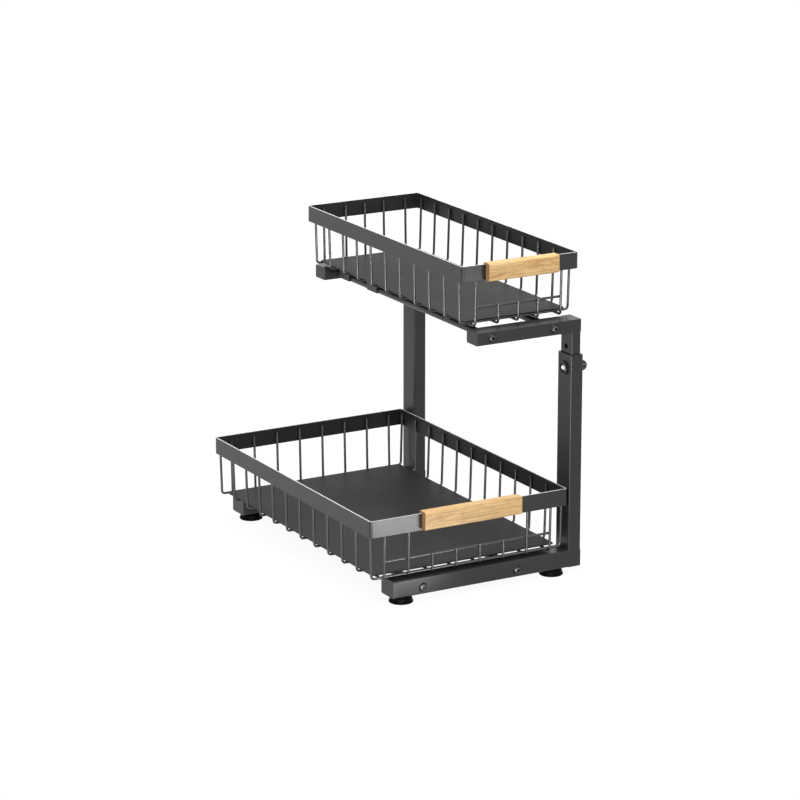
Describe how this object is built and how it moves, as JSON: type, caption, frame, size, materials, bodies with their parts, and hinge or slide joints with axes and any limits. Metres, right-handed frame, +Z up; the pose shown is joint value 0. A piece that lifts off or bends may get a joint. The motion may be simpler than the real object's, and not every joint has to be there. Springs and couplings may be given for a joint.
{
  "type": "pull out cabinet basket",
  "caption": "Two-tier pull-out cabinet organiser: wire baskets with rim bands, sheet floors and wood handles slide on guide rods in an L-shaped tube stand.",
  "frame": {"origin": "on the floor, at the centre of the overall box seen from above", "axes": "+Z up, -Y the way both baskets pull out (front), +X to the right, the side where the posts stand"},
  "size_m": [0.2994, 0.4117, 0.3913],
  "materials": {
    "frame_coat": "satin anthracite powder coat",
    "basket_coat": "satin anthracite powder coat",
    "floor_coat": "satin anthracite powder coat on sheet",
    "oak": "light wood, clear satin lacquer, grain along its length",
    "foot_rubber": "black, soft sheen",
    "black_plastic": "black, fine texture",
    "black_steel": "blackened steel",
    "bright_steel": "zinc plated"
  },
  "bodies": {
    "base": {"front_base_stand": "frame_coat", "rear_base_stand": "frame_coat", "front_bar_cap": "black_plastic", "rear_bar_cap": "black_plastic", "foot_front_left": "foot_rubber", "foot_front_right": "foot_rubber", "foot_rear_left": "foot_rubber", "foot_rear_right": "foot_rubber", "foot_studs": "bright_steel", "lower_rod_left": "frame_coat", "lower_rod_right": "frame_coat", "front_base_screws": "black_steel", "rear_base_screws": "black_steel", "front_locking_bolt": "bright_steel", "rear_locking_bolt": "bright_steel", "locking_washers": "black_plastic", "front_dome_nut": "black_steel", "rear_dome_nut": "black_steel"},
    "upper_tier": {"front_arm": "frame_coat", "rear_arm": "frame_coat", "front_arm_cap": "black_plastic", "rear_arm_cap": "black_plastic", "upper_rod_left": "frame_coat", "upper_rod_right": "frame_coat", "front_arm_screws": "black_steel", "rear_arm_screws": "black_steel"},
    "lower_drawer": {"lower_rim_band": "basket_coat", "lower_left_wires": "basket_coat", "lower_right_wires": "basket_coat", "lower_front_wires": "basket_coat", "lower_rear_wires": "basket_coat", "lower_floor_wires": "basket_coat", "lower_floor_panel": "floor_coat", "lower_handle": "oak", "lower_handle_screws": "bright_steel", "lower_slider_front_left": "black_plastic", "lower_slider_front_right": "black_plastic", "lower_slider_rear_left": "black_plastic", "lower_slider_rear_right": "black_plastic"},
    "upper_drawer": {"upper_rim_band": "basket_coat", "upper_left_wires": "basket_coat", "upper_right_wires": "basket_coat", "upper_front_wires": "basket_coat", "upper_rear_wires": "basket_coat", "upper_floor_wires": "basket_coat", "upper_floor_panel": "floor_coat", "upper_handle": "oak", "upper_handle_screws": "bright_steel", "upper_slider_front_left": "black_plastic", "upper_slider_front_right": "black_plastic", "upper_slider_rear_left": "black_plastic", "upper_slider_rear_right": "black_plastic"}
  },
  "joints": [
    {"name": "height_adjust", "type": "slide", "parent": "base", "child": "upper_tier", "axis": [0, 0, 1], "range_m": [-0.026, 0.13]},
    {"name": "lower_slide", "type": "slide", "parent": "base", "child": "lower_drawer", "axis": [0, -1, 0], "range_m": [0, 0.245]},
    {"name": "upper_slide", "type": "slide", "parent": "upper_tier", "child": "upper_drawer", "axis": [0, -1, 0], "range_m": [0, 0.235]}
  ]
}
